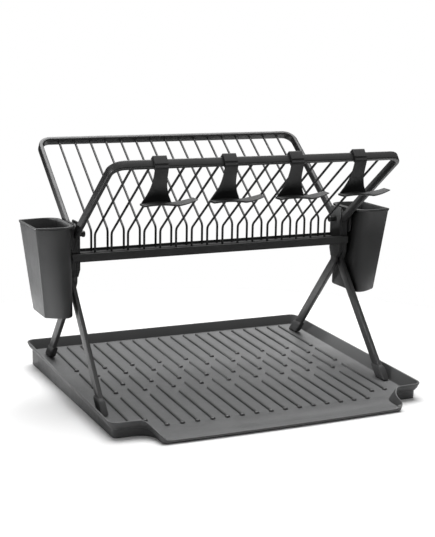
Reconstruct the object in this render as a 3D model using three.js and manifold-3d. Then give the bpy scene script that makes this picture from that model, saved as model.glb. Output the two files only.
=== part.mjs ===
// Folding dish drying rack: drip tray, two crossing wire wings on X legs, two cups, glass hangers.
// Millimetres, +Z up, +X along the rack, -Y is the tray's spout side.
import * as THREE from "three";
import { mergeVertices } from "three/addons/utils/BufferGeometryUtils.js";
import Module from "manifold-3d";

const wasm = await Module();
wasm.setup();

// Rack frame. v is the distance from the pivot axis, positive on the side the legs go to.
const pivotY = 40.7;
const pivotZ = 224.5;
const innerPlane = [203.5, 209.6];
const outerPlane = [209.9, 215.9];
const gap = 0.3;

// Wings
const lean = THREE.MathUtils.degToRad(52.9);
const kneeV = 12.74;
const kneeZ = 226.05;
const wireCount = 16;
const wirePitch = 24;
const wireShift = 1.66;
const wireRadius = 1.5;
const wireSides = 8;
const wireFootZ = 197.6;
const kneeBend = 5;
const barReach = 179.5;
const barWidth = 6.5;
const barDepth = 11.5;
const barEdge = 1.3;
const armX = 209;
const armCutV = 15.7;
const barCornerRadius = 16.8;
const barCornerSteps = 6;
const barSpanSteps = 6;

// Base rails
const railLow = 189;
const railFloor = 197.3;
const railTop = 200.3;
const railHalf = 203.1;
const railEndHalf = 216.1;
const railOuter = 19;
const railLip = 15.9;

// Hubs and pivots
const hubHalf = 15.4;
const hubTop = 243;
const hubTaperZ = 178;
const hubLow = 166;
const hubLowV = [-6.5, 10.9];
const discRadius = 15.2;
const innerWall = [203.5, 205.5];
const innerDisc = [205.4, 209.6];
const outerWall = [212.5, 215.9];
const outerDisc = [209.9, 212.6];
const pinRadius = 3;
const pinClearance = 0.08;
const pinSides = 24;

// Legs and feet
const legWidth = 14.3;
const legTopV = 3;
const legTopZ = hubLow - gap;
const legBendZ = 159.4;
const legRounding = 3;
const legSlope = 0.868;
const legEdge = 1.4;
const capHeight = 18.5;
const frontFootZ = 10.4;
const rearFootZ = 21.7;

// Drip tray
const trayHalf = 231;
const trayBack = 209.1;
const trayBlock = -168.5;
const trayLip = -209.1;
const rimBackZ = 36.2;
const rimBlockZ = 23.2;
const floorLipZ = 4.6;
const floorBackZ = 22.8;
const trayWall = 2.4;
const ribPitch = 21.3;
const ribColumns = 19;
const ribHalf = 1.35;
const ribDot = 2.3;
const ribRise = 2.4;

// Cups
const cupTop = 242.5;
const cupBottom = 116.5;
const cupInnerX = 216.8;
const cupWall = 2;
const cupLip = 0.8;
const cupCorner = 18;
const bracketX = [216.45, 219.6];

// Glass hangers
const hangerX = [-146.5, -50.5, 45.5, 141.5];
const clipHalf = 9.3;
const clipWall = 3;
const fanThickness = 2;
const fanPath = [
  { y: -166.2, z: 334.2, half: 9.2 }, { y: -166, z: 331, half: 9.3 }, { y: -164.6, z: 327, half: 9.4 },
  { y: -161.6, z: 319, half: 9.6 }, { y: -157, z: 308, half: 11 }, { y: -152.3, z: 297, half: 14.8 },
  { y: -149, z: 289, half: 19.2 }, { y: -147.4, z: 285, half: 21 },
];
const ledgeY = -146;
const ledgeZ = 285.5;
const ledgeLeft = -21.6;
const ledgeRight = 51.5;
const ledgeForward = 24;
const ledgeThickness = 2.2;

const materials = {
  tray: new THREE.MeshStandardMaterial({ color: 0x6c6f6f, roughness: 0.55, metalness: 0 }),
  steel: new THREE.MeshStandardMaterial({ color: 0x4b4c4d, roughness: 0.5, metalness: 0.3 }),
  wire: new THREE.MeshStandardMaterial({ color: 0x3e3f40, roughness: 0.45, metalness: 0.3 }),
  rail: new THREE.MeshStandardMaterial({ color: 0x3a3b3c, roughness: 0.6, metalness: 0 }),
  hub: new THREE.MeshStandardMaterial({ color: 0x333435, roughness: 0.6, metalness: 0 }),
  foot: new THREE.MeshStandardMaterial({ color: 0x2c2d2e, roughness: 0.75, metalness: 0 }),
  cup: new THREE.MeshStandardMaterial({ color: 0x55585a, roughness: 0.55, metalness: 0 }),
  hanger: new THREE.MeshStandardMaterial({ color: 0x3c3d3e, roughness: 0.55, metalness: 0 }),
  pin: new THREE.MeshStandardMaterial({ color: 0x2a2b2c, roughness: 0.4, metalness: 0.2 }),
};

// ---------- closed bodies from rings ----------

function ringNormal(ring) {
  const normal = new THREE.Vector3();
  for (let i = 0; i < ring.length; i += 1) {
    const a = ring[i];
    const b = ring[(i + 1) % ring.length];
    normal.x += (a[1] - b[1]) * (a[2] + b[2]);
    normal.y += (a[2] - b[2]) * (a[0] + b[0]);
    normal.z += (a[0] - b[0]) * (a[1] + b[1]);
  }
  return normal;
}

function capFaces(ring) {
  const n = ringNormal(ring);
  const size = [Math.abs(n.x), Math.abs(n.y), Math.abs(n.z)];
  const drop = size.indexOf(Math.max(...size));
  const keep = [0, 1, 2].filter((axis) => axis !== drop);
  const flat = ring.map((p) => new THREE.Vector2(p[keep[0]], p[keep[1]]));
  const faces = THREE.ShapeUtils.triangulateShape(flat, []);
  const [a, b, c] = faces[0].map((i) => new THREE.Vector3(...ring[i]));
  const facing = b.sub(a).cross(c.sub(a)).dot(n);
  return facing > 0 ? faces : faces.map((face) => [face[0], face[2], face[1]]);
}

function volumeOf(points, faces) {
  const total = faces.reduce((sum, face) => {
    const [a, b, c] = face.map((i) => new THREE.Vector3(...points[i]));
    return sum + a.dot(b.cross(c));
  }, 0);
  return total / 6;
}

function geometryOf(points, faces) {
  const outward = volumeOf(points, faces) > 0;
  const wound = outward ? faces : faces.map((face) => [face[0], face[2], face[1]]);
  const geometry = new THREE.BufferGeometry();
  geometry.setAttribute("position", new THREE.Float32BufferAttribute(points.flat(), 3));
  geometry.setIndex(wound.flat());
  return geometry;
}

function loft(rings) {
  const count = rings[0].length;
  const points = rings.flat();
  const faces = [];
  for (let r = 0; r + 1 < rings.length; r += 1) {
    for (let i = 0; i < count; i += 1) {
      const j = (i + 1) % count;
      const a = r * count + i;
      const b = r * count + j;
      faces.push([a, b, b + count], [a, b + count, a + count]);
    }
  }
  const last = (rings.length - 1) * count;
  capFaces(rings[0]).forEach((face) => faces.push([face[0], face[2], face[1]]));
  capFaces(rings[rings.length - 1]).forEach((face) => faces.push(face.map((i) => i + last)));
  return geometryOf(points, faces);
}

// ---------- joining and cutting ----------

function toSolid(geometry) {
  const clean = geometry.clone();
  clean.deleteAttribute("normal");
  clean.deleteAttribute("uv");
  const merged = mergeVertices(clean, 1e-4);
  return new wasm.Manifold(
    new wasm.Mesh({
      numProp: 3,
      vertProperties: new Float32Array(merged.attributes.position.array),
      triVerts: new Uint32Array(merged.index.array),
    }),
  );
}

function fromSolid(solid) {
  const mesh = solid.getMesh();
  const geometry = new THREE.BufferGeometry();
  geometry.setAttribute("position", new THREE.BufferAttribute(new Float32Array(mesh.vertProperties), 3));
  geometry.setIndex(new THREE.BufferAttribute(new Uint32Array(mesh.triVerts), 1));
  return geometry;
}

function boxSolid(x0, x1, y0, y1, z0, z1) {
  const box = new THREE.BoxGeometry(x1 - x0, y1 - y0, z1 - z0);
  box.translate((x0 + x1) / 2, (y0 + y1) / 2, (z0 + z1) / 2);
  return toSolid(box);
}

function unite(solids) {
  return solids.slice(1).reduce((sum, solid) => sum.add(solid), solids[0]);
}

// ---------- outlines ----------

function arc(cx, cy, radius, fromDeg, toDeg, steps) {
  return Array.from({ length: steps + 1 }, (_, i) => {
    const angle = THREE.MathUtils.degToRad(fromDeg + ((toDeg - fromDeg) * i) / steps);
    return [cx + radius * Math.cos(angle), cy + radius * Math.sin(angle)];
  });
}

function roundedRect(x0, x1, y0, y1, radius, steps) {
  return [
    ...arc(x1 - radius, y1 - radius, radius, 0, 90, steps),
    ...arc(x0 + radius, y1 - radius, radius, 90, 180, steps),
    ...arc(x0 + radius, y0 + radius, radius, 180, 270, steps),
    ...arc(x1 - radius, y0 + radius, radius, 270, 360, steps),
  ];
}

// ---------- member A and member B share these; side is the sign of y for positive v ----------

function wingPoint(x, s, n, side) {
  const v = kneeV + s * Math.sin(lean) - n * Math.cos(lean);
  const z = kneeZ + s * Math.cos(lean) + n * Math.sin(lean);
  return [x, -side * v, z];
}

function wireGeometry(x, side) {
  const path = [
    [wireFootZ - kneeZ, 0],
    [-kneeBend, 0],
    [-1.2, 0.18],
    [1.2, 0.82],
    [kneeBend, 1],
    [barReach - gap, 1],
  ];
  const rings = path.map(([s, turn]) => {
    const angle = lean * turn;
    const base = s < 0 ? [kneeV, kneeZ + s] : [kneeV + s * Math.sin(lean), kneeZ + s * Math.cos(lean)];
    return Array.from({ length: wireSides }, (_, i) => {
      const a = (i * 2 * Math.PI) / wireSides;
      const across = wireRadius * Math.cos(a);
      const normal = wireRadius * Math.sin(a);
      const v = base[0] - normal * Math.cos(angle);
      return [x + across, -side * v, base[1] + normal * Math.sin(angle)];
    });
  });
  return loft(rings);
}

function barSection() {
  const w = barWidth / 2;
  const d = barDepth / 2;
  return [
    [w, -d + barEdge], [w, d - barEdge], [w - barEdge, d], [-w + barEdge, d],
    [-w, d - barEdge], [-w, -d + barEdge], [-w + barEdge, -d], [w - barEdge, -d],
  ];
}

function barPath() {
  const crossS = barReach + barWidth / 2;
  const turnX = armX - barCornerRadius;
  const turnS = crossS - barCornerRadius;
  const path = [{ x: armX, s: null, angle: 0 }, { x: armX, s: turnS, angle: 0 }];
  for (let i = 1; i <= barCornerSteps; i += 1) {
    const angle = (i * Math.PI) / 2 / barCornerSteps;
    path.push({
      x: turnX + barCornerRadius * Math.cos(angle),
      s: turnS + barCornerRadius * Math.sin(angle),
      angle,
    });
  }
  for (let i = 1; i < barSpanSteps / 2; i += 1) {
    path.push({ x: turnX * (1 - (2 * i) / barSpanSteps), s: crossS, angle: Math.PI / 2 });
  }
  path.push({ x: 0, s: crossS, angle: Math.PI / 2 });
  const half = path.slice(0, -1);
  const mirror = half.map((p) => ({ x: -p.x, s: p.s, angle: Math.PI - p.angle })).reverse();
  return [...path, ...mirror];
}

// The arms end on the upright plane v = armCutV, just clear of the hub discs.
function armStart(n) {
  return (armCutV - kneeV + n * Math.cos(lean)) / Math.sin(lean);
}

function barGeometry(side) {
  const section = barSection();
  const rings = barPath().map((p) =>
    section.map(([w, d]) => {
      const s = p.s === null ? armStart(d) : p.s;
      return wingPoint(p.x + w * Math.cos(p.angle), s + w * Math.sin(p.angle), d, side);
    }),
  );
  return loft(rings);
}

function vBox(x0, x1, v0, v1, z0, z1, side) {
  const ys = [side * v0, side * v1].sort((a, b) => a - b);
  return boxSolid(x0, x1, ys[0], ys[1], z0, z1);
}

function railGeometry(side) {
  const screwRadius = 2.2;
  const screwDepth = 0.8;
  const screwX = 211;
  const parts = [
    vBox(-railHalf, railHalf, -railOuter, -0.4, railLow, railFloor, side),
    vBox(-railEndHalf, railEndHalf, -railOuter, -railLip, railLow, railTop, side),
  ];
  let rail = unite(parts);
  [-1, 1].forEach((end) => {
    const screw = new THREE.CylinderGeometry(screwRadius, screwRadius, 2 * screwDepth, 12);
    screw.translate(end * screwX, -side * railOuter, (railLow + railTop) / 2);
    rail = rail.subtract(toSolid(screw));
  });
  return fromSolid(rail);
}

function hubFoot(half) {
  return [[-half, hubTaperZ], [hubLowV[0], hubLow], [hubLowV[1], hubLow], [half, hubTaperZ]];
}

function wallOutline() {
  const corner = 3;
  return [
    ...hubFoot(hubHalf),
    ...arc(hubHalf - corner, hubTop - corner, corner, 0, 90, 4),
    ...arc(corner - hubHalf, hubTop - corner, corner, 90, 180, 4),
  ];
}

function discOutline() {
  return [...hubFoot(discRadius), ...arc(0, pivotZ, discRadius, 0, 180, 20)];
}

function extrudeAlongX(outline, x0, x1) {
  return loft([outline.map(([v, z]) => [x0, v, z]), outline.map(([v, z]) => [x1, v, z])]);
}

function hubGeometry(end, wall, disc, side) {
  const slab = (outline, span) => {
    const [x0, x1] = span.map((x) => end * x).sort((a, b) => a - b);
    return toSolid(extrudeAlongX(outline.map(([v, z]) => [side * v, z]), x0, x1));
  };
  const body = slab(wallOutline(), wall).add(slab(discOutline(), disc));
  const hole = new THREE.CylinderGeometry(pinRadius + pinClearance, pinRadius + pinClearance, 40, pinSides);
  hole.rotateZ(Math.PI / 2);
  hole.translate(end * armX, 0, pivotZ);
  return fromSolid(body.subtract(toSolid(hole)));
}

function legCentre(z) {
  const straight = legSlope * (legBendZ - z);
  return legTopV + (straight + Math.hypot(straight, legRounding)) / 2;
}

function legGeometry(x0, x1, side, footZ) {
  const low = footZ + capHeight + gap;
  const heights = [low, 150, 156, 159.5, 162.5, legTopZ];
  const rings = heights.map((z) => {
    const slope = (legCentre(z - 1) - legCentre(z + 1)) / 2;
    const half = (legWidth / 2) * Math.sqrt(1 + slope * slope);
    const v = legCentre(z);
    return roundedRect(x0, x1, side * v - half, side * v + half, legEdge, 1).map(([x, y]) => [x, y, z]);
  });
  return loft(rings);
}

function footGeometry(x0, x1, side, footZ) {
  const half = 11.2;
  const edge = 1.2;
  const levels = [[0, edge], [edge, 0], [capHeight - edge, 0], [capHeight, edge]];
  const rings = levels.map(([rise, inset]) => {
    const v = side * legCentre(footZ + rise);
    const outline = roundedRect(x0 + inset, x1 - inset, v - half + inset, v + half - inset, 2, 2);
    return outline.map(([x, y]) => [x, y, footZ + rise]);
  });
  return loft(rings);
}

function addMesh(group, name, geometry, material) {
  const mesh = new THREE.Mesh(geometry, material);
  mesh.name = name;
  group.add(mesh);
  return mesh;
}

function wireX(index, side) {
  return (index - (wireCount - 1) / 2) * wirePitch - side * wireShift;
}

function buildMember(spec) {
  const { name, legs, side, planes, wall, disc, feetX, footZ } = spec;
  const group = new THREE.Group();
  group.name = name;
  addMesh(group, `${name}_bar`, barGeometry(side), materials.steel);
  for (let i = 0; i < wireCount; i += 1) {
    addMesh(group, `${name}_wire_${i + 1}`, wireGeometry(wireX(i, side), side), materials.wire);
  }
  addMesh(group, `${name}_rail`, railGeometry(side), materials.rail);
  [-1, 1].forEach((end) => {
    const label = end < 0 ? "left" : "right";
    const legX = planes.map((x) => end * x).sort((a, b) => a - b);
    const footX = feetX.map((x) => end * x).sort((a, b) => a - b);
    addMesh(group, `${name}_hub_${label}`, hubGeometry(end, wall, disc, side), materials.hub);
    addMesh(group, `${legs}_leg_${label}`, legGeometry(legX[0], legX[1], side, footZ), materials.steel);
    addMesh(group, `${legs}_foot_${label}`, footGeometry(footX[0], footX[1], side, footZ), materials.foot);
  });
  return group;
}

// ---------- pivots and cup brackets ----------

function pinGeometry() {
  const profile = [
    [0, 192], [3.9, 192], [4.5, 192.8], [4.5, 195.6], [3.9, 196.2], [3.6, 196.2],
    [3.6, 201], [pinRadius, 201], [pinRadius, 216.2], [0, 216.2],
  ];
  const points = profile.map(([r, x]) => new THREE.Vector2(r, x));
  const lathe = new THREE.LatheGeometry(points, pinSides);
  lathe.deleteAttribute("normal");
  lathe.deleteAttribute("uv");
  lathe.rotateZ(-Math.PI / 2);
  lathe.translate(0, 0, pivotZ);
  return fromSolid(toSolid(lathe));
}

function bracketGeometry() {
  const halfWide = 20;
  const low = 206;
  const high = cupTop - 3.2;
  const outline = roundedRect(-halfWide, halfWide, low, high, 5, 4);
  return extrudeAlongX(outline, bracketX[0], bracketX[1]);
}

function mirroredX(geometry) {
  const points = geometry.attributes.position;
  const list = Array.from({ length: points.count }, (_, i) => [-points.getX(i), points.getY(i), points.getZ(i)]);
  const index = Array.from(geometry.index.array);
  const faces = Array.from({ length: index.length / 3 }, (_, i) => index.slice(3 * i, 3 * i + 3));
  return geometryOf(list, faces);
}

// ---------- cups ----------

// Flat outer face with crisp corners, bulging sides, rounded corners next to the rack that tighten downwards.
function cupRing(z, inset, flange) {
  const t = (cupTop - z) / (cupTop - cupBottom);
  const lip = (flange ? cupLip : 0) - inset;
  const inner = flange ? cupInnerX : 221 - t + inset;
  const outer = 273 - 14.7 * t + lip;
  const flat = 38.9 - 11.2 * t + lip;
  const bulge = 43.2 - 4.2 * t + lip;
  const radius = cupCorner - 8 * t - inset;
  const start = inner + radius;
  const half = [[outer, flat - 2], [outer - 0.6, flat - 0.6], [outer - 2, flat]];
  for (let k = 1; k < 5; k += 1) {
    const u = k / 5;
    half.push([outer - 2 + (start - outer + 2) * u, flat + (bulge - flat) * Math.sin((Math.PI * u) / 2)]);
  }
  half.push(...arc(start, bulge - radius, radius, 90, 180, 5));
  const mirror = half.map(([x, y]) => [x, -y]).reverse();
  return [...half, ...mirror].map(([x, y]) => [x, y, z]);
}

function cupGeometry() {
  const flangeLow = cupTop - 3;
  const rings = [
    cupRing(cupBottom, 2, false),
    cupRing(cupBottom + 2, 0, false),
    cupRing(flangeLow, 0, false),
    cupRing(flangeLow, 0, true),
    cupRing(cupTop - 0.8, 0, true),
    cupRing(cupTop, 0.8, true),
    cupRing(cupTop, cupWall, false),
    cupRing(cupBottom + 5, cupWall, false),
    cupRing(cupBottom + 3, cupWall + 2, false),
  ];
  let solid = toSolid(loft(rings));
  [-24, -12, 0, 12, 24].forEach((y) => {
    const slot = new THREE.CylinderGeometry(2.2, 2.2, 12, 10);
    slot.rotateX(Math.PI / 2);
    slot.translate(240, y, cupBottom + 2);
    solid = solid.subtract(toSolid(slot));
  });
  return fromSolid(solid);
}

// ---------- glass hangers ----------

function clipSolid(x) {
  const clear = 0.35;
  const neck = 1.8;
  const blockLow = -3;
  const tooth = 2.2;
  const s0 = barReach + 0.9;
  const s1 = barReach + barWidth + clear;
  const n0 = barDepth / 2 + clear;
  const outline = [
    [s0, n0], [s1, n0], [s1, -n0], [s0 + 2, -n0], [s0 + 2, -n0 - tooth], [s1 + neck, -n0 - tooth],
    [s1 + neck, blockLow - 1.2], [s1 + clipWall, blockLow], [s1 + clipWall, n0 + clipWall - 1.5],
    [s1 + clipWall - 1.5, n0 + clipWall], [s0, n0 + clipWall],
  ];
  const rings = [x - clipHalf, x + clipHalf].map((px) => outline.map(([s, n]) => wingPoint(px, s, n, 1)));
  return toSolid(loft(rings));
}

function fanSolid(x) {
  const t = fanThickness / 2;
  const rings = fanPath.map(({ y, z, half }) => [
    [x - half, y - t, z], [x + half, y - t, z], [x + half, y + t, z], [x - half, y + t, z],
  ]);
  return toSolid(loft(rings));
}

function ledgeSolid(x) {
  const steps = 18;
  const crest = 0.58;
  const rings = Array.from({ length: steps + 1 }, (_, i) => {
    const t = i / steps;
    const px = x + ledgeLeft + (ledgeRight - ledgeLeft) * t;
    const past = Math.max(0, (t - crest) / (1 - crest));
    const rise = 2 * Math.sin(Math.PI * Math.min(1, t / crest)) + 4.6 * past ** 1.6;
    const thick = ledgeThickness - 0.9 * past;
    const front = ledgeY - ledgeForward * (0.5 + 0.5 * Math.sin(Math.PI * (0.14 + 0.74 * t)));
    const z = ledgeZ + rise;
    return [
      [px, ledgeY, z - thick], [px, front + 1, z - thick - 0.2], [px, front, z - thick * 0.6],
      [px, front + 1, z], [px, ledgeY, z + 0.4],
    ];
  });
  return toSolid(loft(rings));
}

function hangerGeometry(x) {
  return fromSolid(unite([clipSolid(x), fanSolid(x), ledgeSolid(x)]));
}

// ---------- drip tray ----------

function trayOutline() {
  const cornerFront = 13;
  const cornerBack = 13;
  const bulge = 3;
  const lipY = (x) => trayLip + bulge * (x / 170) ** 2;
  const half = [
    [0, lipY(0)], [60, lipY(60)], [120, lipY(120)], [160, lipY(160)],
    ...arc(168, lipY(168) + 9, 9, -80, -5, 4),
    [178.2, -190], [180.6, -180], [185.2, -172.8], [191.6, -169.3],
    ...arc(trayHalf - cornerFront, trayBlock + cornerFront, cornerFront, -90, 0, 6),
    [trayHalf, -60], [trayHalf, 60],
    ...arc(trayHalf - cornerBack, trayBack - cornerBack, cornerBack, 0, 90, 6),
    [120, trayBack],
  ];
  const mirror = half.slice(1).map(([x, y]) => [-x, y]).reverse();
  return [...half, [0, trayBack], ...mirror];
}

function floorZ(y) {
  return floorLipZ + ((y - trayLip) * (floorBackZ - floorLipZ)) / (trayBack - trayLip);
}

function rimZ(x, y) {
  const side = rimBlockZ + ((y - trayBlock) * (rimBackZ - rimBlockZ)) / (trayBack - trayBlock);
  const lip = floorZ(y) + 0.5;
  const drop = THREE.MathUtils.smoothstep(Math.abs(x), 167, 190);
  return y > trayBlock + 0.5 ? side : THREE.MathUtils.lerp(lip, side, drop);
}

function insetPoints(outline, inset) {
  return outline.map((point, i) => {
    const before = outline[(i + outline.length - 1) % outline.length];
    const after = outline[(i + 1) % outline.length];
    const unit = (a, b) => new THREE.Vector2(b[0] - a[0], b[1] - a[1]).normalize();
    const e0 = unit(before, point);
    const e1 = unit(point, after);
    const normal = new THREE.Vector2(-e0.y - e1.y, e0.x + e1.x).normalize();
    const stretch = 1 / Math.max(0.75, normal.dot(new THREE.Vector2(-e0.y, e0.x)));
    const ease = THREE.MathUtils.smoothstep(point[1], -200, -168);
    const amount = inset * stretch * (0.55 + 0.45 * ease);
    return [point[0] + normal.x * amount, point[1] + normal.y * amount];
  });
}

function trayRing(outline, inset, height) {
  return insetPoints(outline, inset).map(([x, y], i) => [x, y, height(outline[i][0], outline[i][1], y)]);
}

function ribSolids() {
  const solids = [];
  for (let i = 0; i < ribColumns; i += 1) {
    const x = (i - (ribColumns - 1) / 2) * ribPitch;
    const shift = i % 2 === 0 ? 0 : -30;
    const edge = Math.abs(i - (ribColumns - 1) / 2) > 7.5;
    const front = edge ? -134 : -157;
    const spans = [[191, 80 + shift], [67 + shift, 5 + shift], [-14 + shift, front]];
    spans.forEach(([back, end]) => solids.push(ribSolid(x, back, end)));
  }
  return solids;
}

function ribSolid(x, back, end) {
  const outline = [
    [x + ribHalf, back - 1], [x, back], [x - ribHalf, back - 1], [x - ribHalf, end + 3],
    [x - ribDot, end + 1.6], [x - 1.4, end - 0.8], [x + 1.4, end - 0.8], [x + ribDot, end + 1.6],
    [x + ribHalf, end + 3],
  ];
  const level = (rise) => outline.map(([px, py]) => [px, py, floorZ(py) + rise]);
  return toSolid(loft([level(-1), level(ribRise)]));
}

function trayGeometry() {
  const outline = trayOutline();
  const skirt = 7.4;
  const rim = (x, y) => rimZ(x, y);
  const foot = () => 0;
  const under = (x, y, ringY) => floorZ(ringY) - trayWall;
  const flat = (x, y, ringY) => floorZ(ringY);
  const rings = [
    trayRing(outline, 11.8, under),
    trayRing(outline, skirt + 1.9, foot),
    trayRing(outline, skirt, foot),
    trayRing(outline, 7.2, (x, y) => Math.max(1.0, rim(x, y) - 12)),
    trayRing(outline, 6, (x, y) => Math.max(1.4, rim(x, y) - 11.4)),
    trayRing(outline, 0.4, (x, y) => Math.max(2.0, rim(x, y) - 2.4)),
    trayRing(outline, 0, (x, y) => rim(x, y) - 1.4),
    trayRing(outline, 0.8, rim),
    trayRing(outline, 2.0, rim),
    trayRing(outline, 2.6, (x, y) => rim(x, y) - 0.9),
    trayRing(outline, 10.4, (x, y) => Math.min(rim(x, y) - 0.2, floorZ(y) + 1.6)),
    trayRing(outline, 11.4, flat),
  ];
  const bowl = toSolid(loft(rings));
  return fromSolid(unite([bowl, ...ribSolids()]));
}

// ---------- assembly ----------

const memberA = {
  name: "front_wing", legs: "rear", side: 1, planes: innerPlane, wall: innerWall, disc: innerDisc,
  feetX: [202.4, 209.6], footZ: rearFootZ,
};
const memberB = {
  name: "rear_wing", legs: "front", side: -1, planes: outerPlane, wall: outerWall, disc: outerDisc,
  feetX: [209.9, 217], footZ: frontFootZ,
};

const root = new THREE.Group();
root.name = "dish_rack";
addMesh(root, "drip_tray", trayGeometry(), materials.tray);

const rack = new THREE.Group();
rack.name = "rack";
rack.position.y = pivotY;
root.add(rack);
rack.add(buildMember(memberA));
rack.add(buildMember(memberB));
const sides = { left: mirroredX, right: (geometry) => geometry };
Object.entries(sides).forEach(([label, turn]) => {
  addMesh(rack, `pivot_pin_${label}`, turn(pinGeometry()), materials.pin);
  addMesh(rack, `cup_bracket_${label}`, turn(bracketGeometry()), materials.hub);
  addMesh(rack, `cutlery_cup_${label}`, turn(cupGeometry()), materials.cup);
});
hangerX.forEach((x, i) => addMesh(rack, `glass_hanger_${i + 1}`, hangerGeometry(x), materials.hanger));

export default root;
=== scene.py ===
"""Folding dish drying rack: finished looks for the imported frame. Metres, same frame as the CAD."""
import math

import bpy
import bmesh
from mathutils import Matrix, Vector


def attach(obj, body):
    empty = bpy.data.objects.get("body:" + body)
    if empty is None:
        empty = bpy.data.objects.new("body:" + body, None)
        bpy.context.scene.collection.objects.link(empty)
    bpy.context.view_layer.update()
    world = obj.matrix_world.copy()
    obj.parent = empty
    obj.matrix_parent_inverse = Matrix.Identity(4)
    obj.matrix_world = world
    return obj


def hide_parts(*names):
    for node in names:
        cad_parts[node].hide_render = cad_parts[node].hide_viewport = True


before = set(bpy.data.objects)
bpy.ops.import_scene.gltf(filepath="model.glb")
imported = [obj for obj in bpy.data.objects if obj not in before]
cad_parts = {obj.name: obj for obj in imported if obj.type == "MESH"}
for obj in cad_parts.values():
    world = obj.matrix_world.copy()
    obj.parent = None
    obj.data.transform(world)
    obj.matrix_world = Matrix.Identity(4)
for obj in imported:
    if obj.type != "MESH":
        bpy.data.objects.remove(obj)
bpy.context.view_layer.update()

# ---------- dimensions, in millimetres ----------
MM = 0.001
PIVOT_Y = 40.7
PIVOT_Z = 224.5
LEAN = math.radians(52.9)
KNEE_V = 12.74
KNEE_Z = 226.05
WIRE_COUNT = 16
WIRE_PITCH = 24.0
WIRE_SHIFT = 1.66
WIRE_RADIUS = 1.6
BAR_REACH = 179.5
BAR_WIDTH = 6.5
BAR_DEPTH = 11.5
ARM_X = 209.0
BAR_CORNER = 16.8
RAIL_LOW = 189.0
RAIL_FLOOR = 197.3
RAIL_TOP = 200.3
RAIL_OUTER = 19.0
RAIL_LIP = 15.9
RAIL_HALF = 203.1
RAIL_END = 216.1
RAIL_SPLIT = 0.4
ARM_CUT_V = 15.7
HUB_HALF = 15.4
HUB_CORNER = 3.0
HUB_TOP = 243.0
HUB_TAPER_Z = 178.0
HUB_LOW = 166.0
HUB_LOW_V = (-6.5, 10.9)
BOSS_RADIUS = 15.2
LEG_WIDTH = 14.3
LEG_TOP_V = 3.0
LEG_BEND_Z = 159.4
LEG_SLOPE = 0.868
LEG_ROUNDING = 3.0
CAP_HEIGHT = 18.5
CAP_HALF = 12.2
TRAY_HALF = 231.0
TRAY_BACK = 209.1
TRAY_BLOCK = -168.5
TRAY_LIP = -209.1
RIM_BACK_Z = 36.2
RIM_BLOCK_Z = 23.2
FLOOR_LIP_Z = 4.6
FLOOR_BACK_Z = 22.8
TRAY_CORNER = 13.0
TRAY_WELT = 12.0
RIB_COUNT = 19
RIB_PITCH = 21.3
RIB_STAGGER = 30.0
CUP_TOP = 242.5
CUP_BOTTOM = 116.5
CUP_FLANGE = 3.0
CUP_WALL = 2.0
CUP_INNER_X = 221.0
CUP_FLANGE_X = 216.8
CUP_OUTER_X = 273.0
CUP_OUTER_TAPER = 14.7
CUP_FLAT_HALF = 38.9
CUP_FLAT_TAPER = 11.2
CUP_SIDE_HALF = 43.2
CUP_SIDE_TAPER = 4.2
CUP_CORNER = 18.0
CUP_CORNER_TAPER = 8.0
DRAIN_X = 240.0
DRAIN_RADIUS = 2.2
DRAIN_Y = (-24, -12, 0, 12, 24)
BRACKET_X = (216.45, 219.6)
BRACKET_HALF = 20.0
BRACKET_LOW = 206.0
HANGER_X = (-146.5, -50.5, 45.5, 141.5)
CLIP_HALF = 9.3
LEDGE_LEFT = 21.6
LEDGE_LENGTH = 73.1
LEDGE_BACK = 146.0
LEDGE_REACH = 24.0
LEDGE_Z = 285.5

# Each wing's leg, hub wall, hub boss and foot: how far from the middle they start and end.
INNER_PLANES = {"leg": (203.5, 209.6), "wall": (203.5, 205.5), "boss": (205.4, 209.6), "foot": (201.4, 210.8)}
OUTER_PLANES = {"leg": (209.9, 215.9), "wall": (212.5, 215.9), "boss": (209.9, 212.6), "foot": (208.8, 218.4)}
REAR_FOOT_Z = 21.7
FRONT_FOOT_Z = 10.4


# ---------- materials ----------
def grey(value, tint=0.0):
    return (value * (1 - tint), value, value * (1 + tint), 1.0)


def map_range(tree, source, from_low, from_high, to_low, to_high):
    node = tree.nodes.new("ShaderNodeMapRange")
    node.inputs["From Min"].default_value = from_low
    node.inputs["From Max"].default_value = from_high
    node.inputs["To Min"].default_value = to_low
    node.inputs["To Max"].default_value = to_high
    tree.links.new(source, node.inputs["Value"])
    return node.outputs["Result"]


def scaled(tree, colour, factor):
    node = tree.nodes.new("ShaderNodeVectorMath")
    node.operation = "SCALE"
    tree.links.new(colour, node.inputs[0])
    tree.links.new(factor, node.inputs["Scale"])
    return node.outputs["Vector"]


def paint_recess_shade(tree, shader, colour, recess, specular):
    """Painted shade: takes the colour and the shine down where the surface lies deep inside the piece."""
    hollow = tree.nodes.new("ShaderNodeAmbientOcclusion")
    hollow.samples = 8
    hollow.inputs["Distance"].default_value = 0.06
    depth = map_range(tree, hollow.outputs["AO"], 0.35, 0.75, recess, 1.0)
    recess_shine_shade = tree.nodes.new("ShaderNodeMath")
    recess_shine_shade.operation = "MULTIPLY"
    recess_shine_shade.inputs[1].default_value = specular
    tree.links.new(depth, recess_shine_shade.inputs[0])
    tree.links.new(recess_shine_shade.outputs["Value"], shader.inputs["Specular IOR Level"])
    return scaled(tree, colour, depth)


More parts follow.
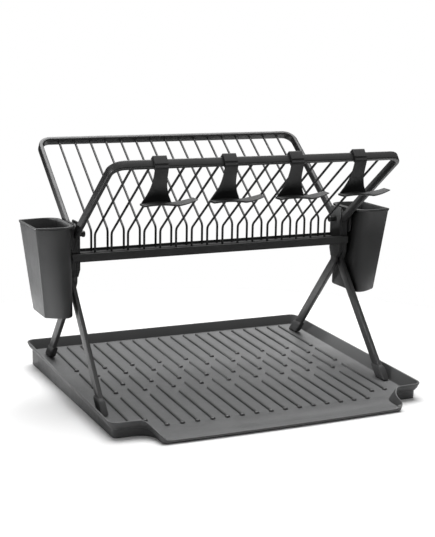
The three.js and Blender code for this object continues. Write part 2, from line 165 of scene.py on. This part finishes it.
def moulded(
    name, tone, spread, roughness, grain, bump, metallic=0.0, edge=0.35, specular=0.5, wall=1.0, recess=1.0
):
    """Moulded plastic or powder coat: mottled tone, fine grain, rubbed edges; wall and recess paint shade
    into the base colour, darker on upright faces and inside hollows."""
    mat = bpy.data.materials.new(name)
    mat.use_nodes = True
    tree = mat.node_tree
    nodes, links = tree.nodes, tree.links
    shader = nodes["Principled BSDF"]
    shader.inputs["Metallic"].default_value = metallic
    shader.inputs["Specular IOR Level"].default_value = specular
    coords = nodes.new("ShaderNodeTexCoord")

    def noise(scale, detail):
        node = nodes.new("ShaderNodeTexNoise")
        node.inputs["Scale"].default_value = scale
        node.inputs["Detail"].default_value = detail
        links.new(coords.outputs["Object"], node.inputs["Vector"])
        return node

    def ramp(source, low, high, first, last):
        node = nodes.new("ShaderNodeValToRGB")
        node.color_ramp.elements[0].position = low
        node.color_ramp.elements[1].position = high
        node.color_ramp.elements[0].color = first
        node.color_ramp.elements[1].color = last
        links.new(source, node.inputs["Fac"])
        return node

    dark, light = grey(tone * (1 - spread), 0.01), grey(tone * (1 + spread), 0.01)
    clouds = ramp(noise(14, 4).outputs["Fac"], 0.3, 0.7, dark, light)
    geometry = nodes.new("ShaderNodeNewGeometry")
    rubbed = ramp(geometry.outputs["Pointiness"], 0.515, 0.60, grey(0.0), grey(edge))
    wear = nodes.new("ShaderNodeMix")
    wear.data_type = "RGBA"
    wear.blend_type = "MIX"
    links.new(rubbed.outputs["Color"], wear.inputs["Factor"])
    links.new(clouds.outputs["Color"], wear.inputs[6])
    wear.inputs[7].default_value = grey(min(1.0, tone * 2.2 + 0.02))
    # Painted shade: the base colour darkens on faces that stand upright, down to the wall factor.
    facing = nodes.new("ShaderNodeSeparateXYZ")
    links.new(geometry.outputs["Normal"], facing.inputs["Vector"])
    upright_face_shade = map_range(tree, facing.outputs["Z"], 0.45, 0.9, wall, 1.0)
    colour = scaled(tree, wear.outputs[2], upright_face_shade)
    if recess < 1.0:
        colour = paint_recess_shade(tree, shader, colour, recess, specular)
    links.new(colour, shader.inputs["Base Color"])
    sheen = map_range(tree, noise(45, 5).outputs["Fac"], 0.3, 0.7, roughness - 0.06, roughness + 0.08)
    links.new(sheen, shader.inputs["Roughness"])
    fine = nodes.new("ShaderNodeBump")
    fine.inputs["Strength"].default_value = bump
    fine.inputs["Distance"].default_value = 0.0003
    links.new(noise(grain, 3).outputs["Fac"], fine.inputs["Height"])
    links.new(fine.outputs["Normal"], shader.inputs["Normal"])
    return mat


# The wall values paint shade onto the upright faces of the tray, steel, wire and hanger.
TRAY = moulded("tray_plastic", 0.128, 0.05, 0.46, 1400, 0.25, specular=0.35, wall=0.5)
STEEL = moulded("coated_steel", 0.044, 0.06, 0.38, 900, 0.05, specular=0.6, wall=0.5)
WIRE = moulded("coated_wire", 0.115, 0.08, 0.42, 1100, 0.06, specular=0.4, wall=0.18)
RAIL = moulded("rail_plastic", 0.034, 0.06, 0.50, 1500, 0.25, specular=0.3)
HUB = moulded("hub_plastic", 0.034, 0.06, 0.48, 1500, 0.25, specular=0.3)
FOOT = moulded("foot_plastic", 0.052, 0.08, 0.55, 1200, 0.3, specular=0.3)
# Painted shade: the cup's recess value darkens its colour and shine deep inside it.
CUP = moulded("cup_plastic", 0.046, 0.05, 0.44, 1400, 0.25, specular=0.35, recess=0.1)
HANGER = moulded("hanger_plastic", 0.058, 0.06, 0.45, 1500, 0.25, specular=0.35, wall=0.42)
# Painted shade: the ribs get a darker tone than the tray plastic they are moulded from, standing in for the
# shade along them.
SHADED_RIB = moulded("tray_rib_plastic", 0.055, 0.05, 0.42, 1400, 0.2, specular=0.5)
PIN = moulded("pin_metal", 0.020, 0.08, 0.32, 1600, 0.1, metallic=0.2)


# ---------- mesh helpers ----------
def make_mesh(name, verts, faces, material, angle=32.0):
    """A closed mesh from millimetre points; normals out, smooth but for real corners."""
    data = bpy.data.meshes.new(name)
    data.from_pydata([Vector(v) * MM for v in verts], [], faces)
    work = bmesh.new()
    work.from_mesh(data)
    bmesh.ops.recalc_face_normals(work, faces=work.faces)
    work.to_mesh(data)
    work.free()
    data.materials.append(material)
    data.shade_smooth()
    data.set_sharp_from_angle(angle=math.radians(angle))
    obj = bpy.data.objects.new(name, data)
    bpy.context.scene.collection.objects.link(obj)
    return obj


def loft(rings):
    count = len(rings[0])
    verts = [p for ring in rings for p in ring]
    faces = []
    for r in range(len(rings) - 1):
        for i in range(count):
            j = (i + 1) % count
            faces.append((r * count + i, r * count + j, (r + 1) * count + j, (r + 1) * count + i))
    last = (len(rings) - 1) * count
    faces.append(tuple(reversed(range(count))))
    faces.append(tuple(range(last, last + count)))
    return verts, faces


def joined(parts):
    verts, faces = [], []
    for part_verts, part_faces in parts:
        base = len(verts)
        verts += part_verts
        faces += [tuple(i + base for i in face) for face in part_faces]
    return verts, faces


def bevel(obj, width, segments=3, angle=35.0):
    mod = obj.modifiers.new("bevel", "BEVEL")
    mod.width = width * MM
    mod.segments = segments
    mod.limit_method = "ANGLE"
    mod.angle_limit = math.radians(angle)
    mod.harden_normals = True


def cut(obj, cutters):
    """Cuts the closed tools out of obj and removes them."""
    for tool in cutters:
        mod = obj.modifiers.new("cut", "BOOLEAN")
        mod.operation = "DIFFERENCE"
        mod.solver = "EXACT"
        mod.object = tool
    bpy.context.view_layer.update()
    graph = bpy.context.evaluated_depsgraph_get()
    result = bpy.data.meshes.new_from_object(obj.evaluated_get(graph))
    obj.modifiers.clear()
    obj.data = result
    for tool in cutters:
        bpy.data.objects.remove(tool)


def arc(cx, cy, radius, start, end, steps):
    turn = [math.radians(start + (end - start) * i / steps) for i in range(steps + 1)]
    return [(cx + radius * math.cos(a), cy + radius * math.sin(a)) for a in turn]


def rounded_rect(x0, x1, y0, y1, radius, steps=5):
    return (
        arc(x1 - radius, y1 - radius, radius, 0, 90, steps)
        + arc(x0 + radius, y1 - radius, radius, 90, 180, steps)
        + arc(x0 + radius, y0 + radius, radius, 180, 270, steps)
        + arc(x1 - radius, y0 + radius, radius, 270, 360, steps)
    )


def rack(x, v, z, side):
    """A point of the rack; v grows towards the side the wing's own legs go to."""
    return (x, PIVOT_Y + side * v, z)


def wing_point(x, s, n, side):
    v = KNEE_V + s * math.sin(LEAN) - n * math.cos(LEAN)
    z = KNEE_Z + s * math.cos(LEAN) + n * math.sin(LEAN)
    return rack(x, -v, z, side)


def finish_piece(obj, body, nodes):
    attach(obj, body)
    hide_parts(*nodes)


# ---------- wings ----------
def wire_path():
    bend = 9.0
    reach = bend * math.tan(LEAN / 2)
    path = [(RAIL_FLOOR - KNEE_Z - 0.3, 0.0), (-14.0, 0.0)]
    steps = 8
    for i in range(steps + 1):
        path.append((None, LEAN * i / steps))
    path += [(90.0, LEAN), (BAR_REACH + 0.6, LEAN)]
    points = []
    for s, angle in path:
        if s is None:
            v = KNEE_V + bend * (1 - math.cos(angle))
            z = KNEE_Z - reach + bend * math.sin(angle)
        elif s < 0:
            v, z = KNEE_V, KNEE_Z + s
        else:
            v, z = KNEE_V + s * math.sin(LEAN), KNEE_Z + s * math.cos(LEAN)
        points.append((v, z, angle))
    return points


def wire(x, side):
    sides = 14
    rings = []
    for v, z, angle in wire_path():
        ring = []
        for i in range(sides):
            turn = 2 * math.pi * i / sides
            normal = WIRE_RADIUS * math.sin(turn)
            across = x + WIRE_RADIUS * math.cos(turn)
            ring.append(rack(across, -(v - normal * math.cos(angle)), z + normal * math.sin(angle), side))
        rings.append(ring)
    return loft(rings)


def bar_path():
    cross = BAR_REACH + BAR_WIDTH / 2
    turn_x = ARM_X - BAR_CORNER
    turn_s = cross - BAR_CORNER
    half = [(ARM_X, None, 0.0), (ARM_X, 80.0, 0.0), (ARM_X, turn_s - 2, 0.0)]
    steps = 14
    for i in range(steps + 1):
        a = math.pi / 2 * i / steps
        half.append((turn_x + BAR_CORNER * math.cos(a), turn_s + BAR_CORNER * math.sin(a), a))
    half += [(turn_x - 3, cross, math.pi / 2), (96.0, cross, math.pi / 2)]
    mirror = [(-x, s, math.pi - a) for x, s, a in reversed(half)]
    return half + [(0.0, cross, math.pi / 2)] + mirror


def bar(side):
    section = rounded_rect(-BAR_WIDTH / 2, BAR_WIDTH / 2, -BAR_DEPTH / 2, BAR_DEPTH / 2, 1.7, 4)
    rings = []
    for x, s, a in bar_path():
        ring = []
        for w, d in section:
            start = (ARM_CUT_V - KNEE_V + d * math.cos(LEAN)) / math.sin(LEAN) if s is None else s
            ring.append(wing_point(x + w * math.cos(a), start + w * math.sin(a), d, side))
        rings.append(ring)
    return loft(rings)


def prism_x(outline, x0, x1, side):
    return loft([[rack(x, v, z, side) for v, z in outline] for x in (x0, x1)])


def rail(name, side):
    """Half of the base rail: a floor with an upright lip, and the lip alone past the hubs."""
    upright = [(-RAIL_OUTER, RAIL_LOW), (-RAIL_OUTER, RAIL_TOP), (-RAIL_LIP, RAIL_TOP)]
    floor = upright + [(-RAIL_LIP, RAIL_FLOOR), (-RAIL_SPLIT, RAIL_FLOOR), (-RAIL_SPLIT, RAIL_LOW)]
    lip = upright + [(-RAIL_LIP, RAIL_LOW)]
    parts = [prism_x(floor, -RAIL_HALF, RAIL_HALF, side)]
    for x0, x1 in ((-RAIL_END, -RAIL_HALF), (RAIL_HALF, RAIL_END)):
        parts.append(prism_x(lip, x0, x1, side))
    obj = make_mesh(name, *joined(parts), RAIL)
    weld = bmesh.new()
    weld.from_mesh(obj.data)
    bmesh.ops.remove_doubles(weld, verts=weld.verts, dist=1e-6)
    weld.to_mesh(obj.data)
    weld.free()
    bevel(obj, 0.8)
    return obj


def hub(name, end, planes, side):
    """A flat cheek with a round boss on the pivot side, tapering to the leg."""
    low = [(v, HUB_LOW) for v in HUB_LOW_V]
    turn_v, turn_z = HUB_HALF - HUB_CORNER, HUB_TOP - HUB_CORNER
    cheek = [(-HUB_HALF, HUB_TAPER_Z)] + low + [(HUB_HALF, HUB_TAPER_Z)]
    cheek += arc(turn_v, turn_z, HUB_CORNER, 0, 90, 6) + arc(-turn_v, turn_z, HUB_CORNER, 90, 180, 6)
    boss = [(-BOSS_RADIUS, HUB_TAPER_Z)] + low + [(BOSS_RADIUS, HUB_TAPER_Z)]
    boss += arc(0, PIVOT_Z, BOSS_RADIUS, 0, 180, 40)
    parts = []
    for outline, (x0, x1) in ((cheek, planes["wall"]), (boss, planes["boss"])):
        parts.append(prism_x(outline, end * x0, end * x1, side))
    obj = make_mesh(name, *joined(parts), HUB)
    bevel(obj, 0.6)
    return obj


def leg_centre(z):
    straight = LEG_SLOPE * (LEG_BEND_Z - z)
    return LEG_TOP_V + (straight + math.hypot(straight, LEG_ROUNDING)) / 2


def leg(name, end, planes, side, foot_z):
    x0, x1 = sorted(end * x for x in planes["leg"])
    low = foot_z + CAP_HEIGHT - 2
    heights = [low, 60, 100, 140, 150, 154, 156, 158, 159.4, 161, 162.5, 164, HUB_LOW + 1]
    rings = []
    for z in heights:
        slope = (leg_centre(z - 1) - leg_centre(z + 1)) / 2
        half = LEG_WIDTH / 2 * math.sqrt(1 + slope * slope)
        v = leg_centre(z)
        rings.append([rack(x, w, z, side) for x, w in rounded_rect(x0, x1, v - half, v + half, 1.5, 4)])
    return make_mesh(name, *loft(rings), STEEL)


def foot(name, end, planes, side, foot_z):
    """A cap on the end of a leg: rise and inset of each level, rounded at the top."""
    x0, x1 = sorted(end * x for x in planes["foot"])
    levels = [(0, 1.4), (0.5, 0.5), (1.4, 0), (CAP_HEIGHT - 4.5, 0)]
    levels += [(CAP_HEIGHT - 2.4, 0.4), (CAP_HEIGHT - 0.9, 1.2), (CAP_HEIGHT, 2.4)]
    rings = []
    for rise, inset in levels:
        v = leg_centre(foot_z + rise)
        low_v, high_v = v - CAP_HALF + inset, v + CAP_HALF - inset
        outline = rounded_rect(x0 + inset, x1 - inset, low_v, high_v, 2.2, 5)
        rings.append([rack(x, w, foot_z + rise, side) for x, w in outline])
    return make_mesh(name, *loft(rings), FOOT)


def member(name, legs, side, planes, foot_z, body):
    """One rigid wing: bar, wires, half of the rail, two hubs and the legs on the far side of the pivot."""
    obj = make_mesh(f"{name}_u_bar", *bar(side), STEEL)
    finish_piece(obj, body, [f"{name}_bar"])
    for i in range(WIRE_COUNT):
        x = (i - (WIRE_COUNT - 1) / 2) * WIRE_PITCH - side * WIRE_SHIFT
        obj = make_mesh(f"{name}_rod_{i + 1}", *wire(x, side), WIRE, 60)
        finish_piece(obj, body, [f"{name}_wire_{i + 1}"])
    finish_piece(rail(f"{name}_base_rail", side), body, [f"{name}_rail"])
    for end, label in ((-1, "left"), (1, "right")):
        obj = hub(f"{name}_plate_{label}", end, planes, side)
        finish_piece(obj, body, [f"{name}_hub_{label}"])
        obj = leg(f"{legs}_flat_leg_{label}", end, planes, side, foot_z)
        finish_piece(obj, body, [f"{legs}_leg_{label}"])
        obj = foot(f"{legs}_cap_{label}", end, planes, side, foot_z)
        finish_piece(obj, body, [f"{legs}_foot_{label}"])


member("front_wing", "rear", 1, INNER_PLANES, REAR_FOOT_Z, "front_wing_frame")
member("rear_wing", "front", -1, OUTER_PLANES, FRONT_FOOT_Z, "rear_wing_frame")


# ---------- pivots and cup brackets ----------
def pin(name, end):
    """A pin with a round knob on its inner end: distance from the middle and radius."""
    knob = [(192, 0.02), (192, 3.2), (192.3, 3.9), (192.9, 4.4), (193.6, 4.5), (195.4, 4.5), (195.9, 4.2)]
    shank = [(196.2, 3.6), (201, 3.6), (203.1, 3.6), (203.2, 3.0), (216.2, 3.0), (216.2, 0.02)]
    sides = 32
    turns = [2 * math.pi * i / sides for i in range(sides)]
    rings = []
    for x, radius in knob + shank:
        circle = [(radius * math.cos(a), radius * math.sin(a)) for a in turns]
        rings.append([(end * x, PIVOT_Y + y, PIVOT_Z + z) for y, z in circle])
    return make_mesh(name, *loft(rings), PIN)


def bracket(name, end):
    outline = rounded_rect(-BRACKET_HALF, BRACKET_HALF, BRACKET_LOW, CUP_TOP - 3.2, 5, 6)
    obj = make_mesh(name, *prism_x(outline, end * BRACKET_X[0], end * BRACKET_X[1], 1), HUB)
    bevel(obj, 0.7)
    return obj


# ---------- cups ----------
def cup_ring(z, inset, flange=False):
    """Flat outer face with crisp corners, bulging sides, and rounded corners next to the rack, which
    tighten downwards."""
    t = (CUP_TOP - z) / (CUP_TOP - CUP_BOTTOM)
    lip = (0.8 if flange else 0) - inset
    inner = (CUP_FLANGE_X if flange else CUP_INNER_X - t) + inset
    outer = CUP_OUTER_X - CUP_OUTER_TAPER * t + lip
    flat = CUP_FLAT_HALF - CUP_FLAT_TAPER * t + lip
    bulge = CUP_SIDE_HALF - CUP_SIDE_TAPER * t + lip
    radius = CUP_CORNER - CUP_CORNER_TAPER * t - inset
    start = inner + radius
    half = arc(outer - 2, flat - 2, 2, 0, 80, 5)
    for k in range(1, 10):
        u = k / 10
        half.append((outer - 2 + (start - outer + 2) * u, flat + (bulge - flat) * math.sin(math.pi * u / 2)))
    half += arc(start, bulge - radius, radius, 90, 180, 14)
    return [(px, PIVOT_Y + py, z) for px, py in half + [(x, -y) for x, y in reversed(half)]]


def cup(name, end):
    low = CUP_TOP - CUP_FLANGE
    foot_round = [(CUP_BOTTOM, 4), (CUP_BOTTOM + 0.3, 2.2), (CUP_BOTTOM + 1.2, 0.8), (CUP_BOTTOM + 3, 0.1)]
    outside = [(150, 0), (200, 0), (low - 1.2, 0), (low - 0.2, -0.7)]
    flange = [(low, 0.4), (low + 0.5, 0), (CUP_TOP - 0.8, 0), (CUP_TOP - 0.2, 0.4), (CUP_TOP, 1.2)]
    inside = [(CUP_TOP, 1.4), (CUP_TOP - 0.6, CUP_WALL), (180, CUP_WALL), (CUP_BOTTOM + 7, CUP_WALL)]
    inside += [(CUP_BOTTOM + 4, CUP_WALL + 0.9), (CUP_BOTTOM + 3, CUP_WALL + 3)]
    rings = [cup_ring(z, depth) for z, depth in foot_round + outside]
    rings += [cup_ring(z, depth, True) for z, depth in flange]
    rings += [cup_ring(z, depth) for z, depth in inside]
    verts, faces = loft(rings)
    obj = make_mesh(name, [(end * x, y, z) for x, y, z in verts], faces, CUP, 50)
    tools = []
    for y in DRAIN_Y:
        outline = arc(DRAIN_X, PIVOT_Y + y, DRAIN_RADIUS, 0, 345, 23)
        ring = [[(end * px, py, z) for px, py in outline] for z in (CUP_BOTTOM - 4, CUP_BOTTOM + 8)]
        tools.append(make_mesh("tool", *loft(ring), CUP))
    cut(obj, tools)
    return obj


for end, label in ((-1, "left"), (1, "right")):
    finish_piece(pin(f"pivot_knob_{label}", end), "rack_core", [f"pivot_pin_{label}"])
    finish_piece(bracket(f"cup_rest_{label}", end), "rack_core", [f"cup_bracket_{label}"])
    finish_piece(cup(f"cutlery_holder_{label}", end), f"{label}_cup", [f"cutlery_cup_{label}"])


# ---------- glass hangers ----------
def clip(x):
    """The hook round the bar: a thick block on top, a thin neck and a tooth below."""
    clear, wall, neck, block_low = 0.35, 3.0, 1.8, -3.0
    s0, s1 = BAR_REACH + 0.9, BAR_REACH + BAR_WIDTH + clear
    n0 = BAR_DEPTH / 2 + clear
    outline = [(s0, n0), (s1, n0), (s1, -n0), (s0 + 2, -n0), (s0 + 2, -n0 - 2.2), (s1 + neck, -n0 - 2.2),
               (s1 + neck, block_low - 1.2), (s1 + wall, block_low)]
    outline += arc(s1 + wall - 1.5, n0 + wall - 1.5, 1.5, 0, 90, 5) + [(s0, n0 + wall)]
    return loft([[wing_point(px, s, n, 1) for s, n in outline] for px in (x - CLIP_HALF, x + CLIP_HALF)])


def blend(points, steps):
    """A smooth curve through points of any width."""
    curve = []
    for i in range(len(points) - 1):
        a, b = points[max(i - 1, 0)], points[i]
        c, d = points[i + 1], points[min(i + 2, len(points) - 1)]
        for k in range(steps):
            t = k / steps
            curve.append(tuple(
                0.5 * (2 * q + (r - p) * t + (2 * p - 5 * q + 4 * r - w) * t * t
                       + (3 * q - p - 3 * r + w) * t ** 3)
                for p, q, r, w in zip(a, b, c, d)
            ))
    return curve + [points[-1]]


def fan(x):
    """The web that widens downwards: depth from the pivot, height and half width along it."""
    path = [(-166.2, 334.2, 9.2), (-166, 331, 9.3), (-164.6, 327, 9.4), (-161.6, 319, 9.6), (-157, 308, 11),
            (-152.3, 297, 14.8), (-149, 289, 19.2), (-147.4, 285, 21)]
    rings = []
    for y, z, half in blend(path, 4):
        rings.append([(x + px, PIVOT_Y + y + py, z) for px, py in rounded_rect(-half, half, -1, 1, 0.8, 3)])
    return loft(rings)


def ledge(x):
    """The curved shelf that carries the foot of a glass; it rises to a thin tip on the right."""
    steps, crest = 60, 0.58
    rings = []
    for i in range(steps + 1):
        t = i / steps
        px = x - LEDGE_LEFT + LEDGE_LENGTH * t
        past = max(0.0, (t - crest) / (1 - crest))
        rise = 2 * math.sin(math.pi * min(1, t / crest)) + 4.6 * past ** 1.6
        thick = 2.2 - 0.9 * past
        back = PIVOT_Y - LEDGE_BACK
        reach = LEDGE_REACH * (0.5 + 0.5 * math.sin(math.pi * (0.14 + 0.74 * t)))
        front, middle, z = back - reach, back - reach / 2, LEDGE_Z + rise
        under = [(back, z - thick), (middle, z - thick - 0.2), (front + 1.2, z - thick - 0.1)]
        nose = [(front + 0.3, z - thick * 0.8), (front, z - thick * 0.5), (front + 0.4, z - 0.15)]
        top = [(front + 1.4, z), (middle, z + 0.2), (back, z + 0.4)]
        rings.append([(px, y, height) for y, height in under + nose + top])
    return loft(rings)


for number, x in enumerate(HANGER_X, 1):
    piece = make_mesh(f"stemware_hanger_{number}", *joined([clip(x), fan(x), ledge(x)]), HANGER)
    bevel(piece, 0.5, 2)
    finish_piece(piece, f"hanger_{number}", [f"glass_hanger_{number}"])


# ---------- drip tray ----------
def smooth(value, low, high):
    t = min(1.0, max(0.0, (value - low) / (high - low)))
    return t * t * (3 - 2 * t)


def floor_z(y):
    return FLOOR_LIP_Z + (y - TRAY_LIP) * (FLOOR_BACK_Z - FLOOR_LIP_Z) / (TRAY_BACK - TRAY_LIP)


def rim_z(x, y):
    side = RIM_BLOCK_Z + (y - TRAY_BLOCK) * (RIM_BACK_Z - RIM_BLOCK_Z) / (TRAY_BACK - TRAY_BLOCK)
    lip = floor_z(y) + 0.5
    drop = smooth(abs(x), 167, 190)
    return side if y > TRAY_BLOCK + 0.5 else lip + (side - lip) * drop


def tray_outline():
    """The rim from above: a bowed pouring lip between two front blocks, then straight sides and back."""
    def lip_y(x):
        return TRAY_LIP + 3 * (x / 170) ** 2

    half = [(x, lip_y(x)) for x in range(0, 161, 20)]
    half += arc(168, lip_y(168) + 9, 9, -80, -5, 8)
    half += [(177.6, -194), (178.6, -188), (179.6, -183), (181.2, -178.5), (183.4, -175)]
    half += [(186.2, -172.2), (189.4, -170.4), (193.2, -169.2), (198, -168.7), (208, -168.5)]
    half += arc(TRAY_HALF - TRAY_CORNER, TRAY_BLOCK + TRAY_CORNER, TRAY_CORNER, -90, 0, 14)
    half += [(TRAY_HALF, y) for y in range(-130, 181, 20)]
    half += arc(TRAY_HALF - TRAY_CORNER, TRAY_BACK - TRAY_CORNER, TRAY_CORNER, 0, 90, 14)
    half += [(x, TRAY_BACK) for x in range(180, 19, -20)]
    mirror = [(-x, y) for x, y in reversed(half[1:])]
    return half + [(0, TRAY_BACK)] + mirror


def inset(outline, amount):
    """The outline moved inwards, about half as far along the pouring lip."""
    moved = []
    count = len(outline)
    for i, (x, y) in enumerate(outline):
        before, after = Vector(outline[i - 1]), Vector(outline[(i + 1) % count])
        here = Vector((x, y))
        e0, e1 = (here - before).normalized(), (after - here).normalized()
        normal = Vector((-e0.y - e1.y, e0.x + e1.x)).normalized()
        stretch = 1 / max(0.75, normal.dot(Vector((-e0.y, e0.x))))
        ease = 0.55 + 0.45 * smooth(y, -200, -168)
        moved.append(here + normal * amount * stretch * ease)
    return moved


def tray_ring(outline, amount, height):
    return [(p.x, p.y, height(x, y, p.y)) for p, (x, y) in zip(inset(outline, amount), outline)]


def below_rim(drop, least=0.0):
    return lambda x, y, ring_y: max(least, rim_z(x, y) - drop)


def above_floor(rise):
    return lambda x, y, ring_y: min(rim_z(x, y) - 0.2, floor_z(ring_y) + rise)


def tray():
    """Rings from the underside of the floor out over the plinth, up the wall and back down to the floor."""
    profile = [
        (11.8, lambda x, y, ring_y: floor_z(ring_y) - 2.4),
        (9.4, lambda x, y, ring_y: 0.0),
        (7.8, lambda x, y, ring_y: 0.0),
        (7.4, lambda x, y, ring_y: 0.5),
        (7.2, below_rim(TRAY_WELT + 0.2, 0.9)),
        (7.0, below_rim(TRAY_WELT - 0.2, 1.1)),
        (6.2, below_rim(TRAY_WELT - 0.6, 1.3)),
        (5.0, below_rim(TRAY_WELT - 1.6, 1.6)),
        (2.6, below_rim(7.2, 1.9)),
        (0.9, below_rim(3.6, 2.2)),
        (0.2, below_rim(2.2, 2.6)),
        (0, below_rim(1.4, 3.0)),
        (0.1, below_rim(0.7, 3.6)),
        (0.5, below_rim(0.15, 4.0)),
        (1.0, below_rim(0)),
        (1.7, below_rim(0)),
        (2.2, below_rim(0.25)),
        (2.6, lambda x, y, ring_y: max(floor_z(ring_y) + 0.1, rim_z(x, y) - 0.9)),
        (10.0, above_floor(2.3)),
        (10.5, above_floor(1.2)),
        (11.0, above_floor(0.4)),
        (11.8, above_floor(0.0)),
    ]
    outline = tray_outline()
    rings = [tray_ring(outline, amount, height) for amount, height in profile]
    return make_mesh("drip_tray_shell", *loft(rings), TRAY, 45)


def rib(x, back, end):
    """A raised rib: rounded ridge with a small round end."""
    body, knob = 1.55, 3.1
    left = [(-0.7, back), (-body, back - 1.5), (-body, end + 3.8), (-knob, end + 2.6), (-knob, end + 0.2)]
    left.append((-body, end - 1))
    outline = [(x + 0.7, back)] + [(x + w, y) for w, y in left]
    outline += [(x - w, y) for w, y in reversed(left[1:])]
    middle_y = sum(p[1] for p in outline) / len(outline)

    def level(rise, scale):
        ring = []
        for px, py in outline:
            shift = 0.7 * (1 - scale)
            qy = py + (shift if py < middle_y else -shift)
            ring.append((x + (px - x) * scale, qy, floor_z(py) + rise))
        return ring

    return loft([level(-0.8, 1.1), level(0.2, 1.06), level(1.8, 0.92), level(2.3, 0.75), level(2.5, 0.45)])


def ribs():
    """Three rows of ribs, staggered between columns; the outermost columns end short of the front blocks."""
    parts = []
    middle = (RIB_COUNT - 1) // 2
    for i in range(RIB_COUNT):
        x = (i - middle) * RIB_PITCH
        shift = 0 if i % 2 == 0 else -RIB_STAGGER
        front = -134 if abs(i - middle) > 7.5 else -157
        for back, end in ((191, 80 + shift), (67 + shift, 5 + shift), (-14 + shift, front)):
            parts.append(rib(x, back, end))
    return make_mesh("drip_tray_ribs", *joined(parts), SHADED_RIB, 50)


shell = tray()
finish_piece(shell, "tray", ["drip_tray"])
rib_set = ribs()
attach(rib_set, "tray")


# ---------- studio ----------
def studio():
    """White backdrop for the camera; the light on the object comes mostly from above and the left."""
    scene = bpy.context.scene
    scene.view_settings.view_transform = "Standard"
    world = bpy.data.worlds.new("studio")
    world.use_nodes = True
    nodes, links = world.node_tree.nodes, world.node_tree.links
    backdrop = nodes["Background"]
    backdrop.inputs["Color"].default_value = (1, 1, 1, 1)
    backdrop.inputs["Strength"].default_value = 1.0
    coords = nodes.new("ShaderNodeTexCoord")
    split = nodes.new("ShaderNodeSeparateXYZ")
    links.new(coords.outputs["Generated"], split.inputs["Vector"])
    height = nodes.new("ShaderNodeValToRGB")
    height.color_ramp.elements[0].position = 0.0
    height.color_ramp.elements[0].color = (0.06, 0.06, 0.06, 1)
    height.color_ramp.elements[1].position = 0.9
    height.color_ramp.elements[1].color = (0.55, 0.55, 0.55, 1)
    links.new(split.outputs["Z"], height.inputs["Fac"])
    fill = nodes.new("ShaderNodeBackground")
    fill.inputs["Strength"].default_value = 1.0
    links.new(height.outputs["Color"], fill.inputs["Color"])
    seen = nodes.new("ShaderNodeLightPath")
    mix = nodes.new("ShaderNodeMixShader")
    links.new(seen.outputs["Is Camera Ray"], mix.inputs["Fac"])
    links.new(fill.outputs["Background"], mix.inputs[1])
    links.new(backdrop.outputs["Background"], mix.inputs[2])
    links.new(mix.outputs["Shader"], nodes["World Output"].inputs["Surface"])
    scene.world = world
    data = bpy.data.meshes.new("floor")
    disc = [(0.62 * math.cos(math.radians(a)), 0.62 * math.sin(math.radians(a)), 0) for a in range(0, 360, 5)]
    data.from_pydata(disc, [], [tuple(range(len(disc)))])
    floor = bpy.data.objects.new("floor", data)
    scene.collection.objects.link(floor)
    mat = bpy.data.materials.new("floor")
    mat.use_nodes = True
    shader = mat.node_tree.nodes["Principled BSDF"]
    shader.inputs["Base Color"].default_value = (0.90, 0.90, 0.90, 1)
    shader.inputs["Roughness"].default_value = 0.7
    shader.inputs["Specular IOR Level"].default_value = 0.1
    data.materials.append(mat)


def spot_light(name, where, aim, cone, power):
    data = bpy.data.lights.new(name, "SPOT")
    data.spot_size = math.radians(cone)
    data.spot_blend = 0.8
    data.shadow_soft_size = 0.12
    data.energy = power
    lamp = bpy.data.objects.new(name, data)
    lamp.location = where
    lamp.rotation_euler = (Vector(aim) - Vector(where)).to_track_quat("-Z", "Y").to_euler()
    bpy.context.scene.collection.objects.link(lamp)


def sun_light(name, source, spread, power):
    data = bpy.data.lights.new(name, "SUN")
    data.angle = math.radians(spread)
    data.energy = power
    lamp = bpy.data.objects.new(name, data)
    lamp.rotation_euler = Vector(source).to_track_quat("Z", "Y").to_euler()
    bpy.context.scene.collection.objects.link(lamp)


def camera():
    yaw, pitch, roll = math.radians(24.90), math.radians(11.94), math.radians(0.94)
    ahead = Vector((math.sin(yaw) * math.cos(pitch), math.cos(yaw) * math.cos(pitch), -math.sin(pitch)))
    right = Vector((math.cos(yaw), -math.sin(yaw), 0))
    up = right.cross(ahead)
    tilted_right = right * math.cos(roll) + up * math.sin(roll)
    tilted_up = up * math.cos(roll) - right * math.sin(roll)
    data = bpy.data.cameras.new("camera")
    data.sensor_fit = "HORIZONTAL"
    data.sensor_width = 36
    data.lens = 99.03
    data.shift_x = 0.0038
    data.shift_y = 0.0155
    data.clip_end = 100
    cam = bpy.data.objects.new("camera", data)
    rotation = Matrix((tilted_right, tilted_up, -ahead)).transposed().to_4x4()
    cam.matrix_world = Matrix.Translation((-0.7077, -1.4987, 0.5106)) @ rotation
    bpy.context.scene.collection.objects.link(cam)
    bpy.context.scene.camera = cam


studio()
sun_light("key", (0.15, 0.45, 1.0), 50, 3.5)
spot_light("side", (-1.6, 0.1, 0.24), (-0.272, 0.045, 0.17), 10, 430)
spot_light("arm", (-1.6, 0.0, 0.36), (-0.212, -0.06, 0.33), 9, 80)
camera()
